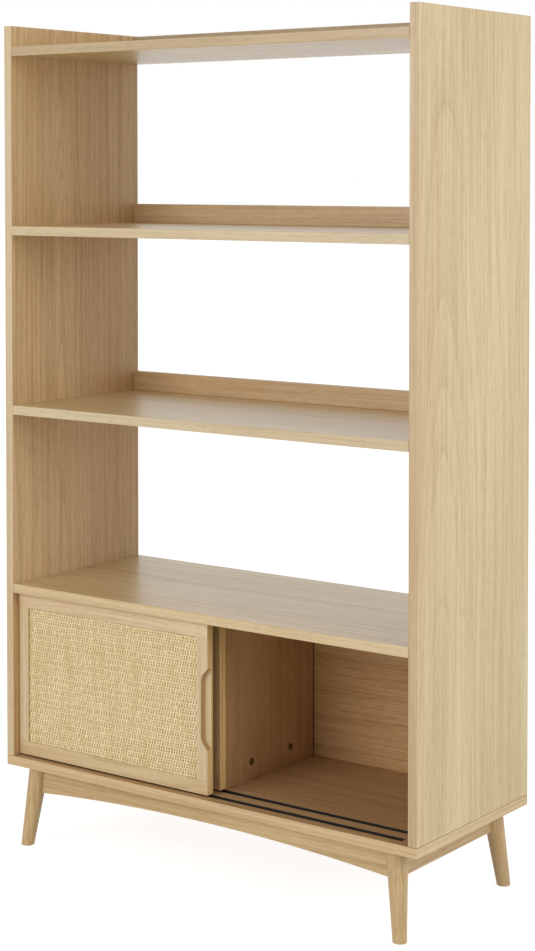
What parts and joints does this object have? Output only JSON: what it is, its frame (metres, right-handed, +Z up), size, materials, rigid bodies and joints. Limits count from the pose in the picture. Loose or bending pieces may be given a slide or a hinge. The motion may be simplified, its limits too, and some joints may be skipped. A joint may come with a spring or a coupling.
{
  "type": "bookcase with sliding cabinet doors",
  "caption": "Open-backed oak bookcase: shelves over a cabinet with two bypass sliding doors of woven cane, on an arched apron frame with splayed round legs.",
  "frame": {"origin": "on the floor, under the middle of the case's width and depth", "axes": "+X to the right seen from the front, +Y to the back, +Z up"},
  "size_m": [1, 0.4, 1.685],
  "materials": {
    "oak_board": "satin lacquered light oak veneer on board",
    "oak_turned": "satin lacquered solid oak",
    "door_oak": "satin lacquered oak door frame",
    "woven_cane": "natural close-woven cane",
    "backing_board": "plain thin board",
    "black_plastic": "black extruded track and nylon",
    "grey_nylon": "grey nylon glide",
    "zinc_steel": "zinc plated"
  },
  "bodies": {
    "case": {"apron_back": "oak_turned", "apron_front": "oak_turned", "apron_left": "oak_turned", "apron_right": "oak_turned", "base_board": "oak_board", "cabinet_back": "oak_board", "cabinet_divider": "oak_board", "cabinet_top": "oak_board", "cam_lock_front": "zinc_steel", "cam_lock_rear": "zinc_steel", "corner_brace_back_left": "backing_board", "corner_brace_back_right": "backing_board", "corner_brace_front_left": "backing_board", "corner_brace_front_right": "backing_board", "foot_glide_back_left": "grey_nylon", "foot_glide_back_right": "grey_nylon", "foot_glide_front_left": "grey_nylon", "foot_glide_front_right": "grey_nylon", "leg_back_left": "oak_turned", "leg_back_right": "oak_turned", "leg_bolt_back_left": "zinc_steel", "leg_bolt_back_right": "zinc_steel", "leg_bolt_front_left": "zinc_steel", "leg_bolt_front_right": "zinc_steel", "leg_front_left": "oak_turned", "leg_front_right": "oak_turned", "rail_lower": "oak_board", "rail_middle": "oak_board", "rail_upper": "oak_board", "shelf_lower": "oak_board", "shelf_middle": "oak_board", "shelf_upper": "oak_board", "side_panel_left": "oak_board", "side_panel_right": "oak_board", "track_bottom_front": "black_plastic", "track_bottom_rear": "black_plastic", "track_top_front": "black_plastic", "track_top_rear": "black_plastic"},
    "front_door": {"front_door_backing": "backing_board", "front_door_cane_panel": "woven_cane", "front_door_glide_left": "black_plastic", "front_door_glide_right": "black_plastic", "front_door_guide_pin_left": "black_plastic", "front_door_guide_pin_right": "black_plastic", "front_door_rail_bottom": "door_oak", "front_door_rail_top": "door_oak", "front_door_stile_left": "door_oak", "front_door_stile_right": "door_oak"},
    "rear_door": {"rear_door_backing": "backing_board", "rear_door_cane_panel": "woven_cane", "rear_door_glide_left": "black_plastic", "rear_door_glide_right": "black_plastic", "rear_door_guide_pin_left": "black_plastic", "rear_door_guide_pin_right": "black_plastic", "rear_door_rail_bottom": "door_oak", "rear_door_rail_top": "door_oak", "rear_door_stile_left": "door_oak", "rear_door_stile_right": "door_oak"}
  },
  "joints": [
    {"name": "front_door_slide", "type": "slide", "parent": "case", "child": "front_door", "axis": [1, 0, 0], "range_m": [0, 0.4665]},
    {"name": "rear_door_slide", "type": "slide", "parent": "case", "child": "rear_door", "axis": [1, 0, 0], "range_m": [0, 0.4665]}
  ]
}
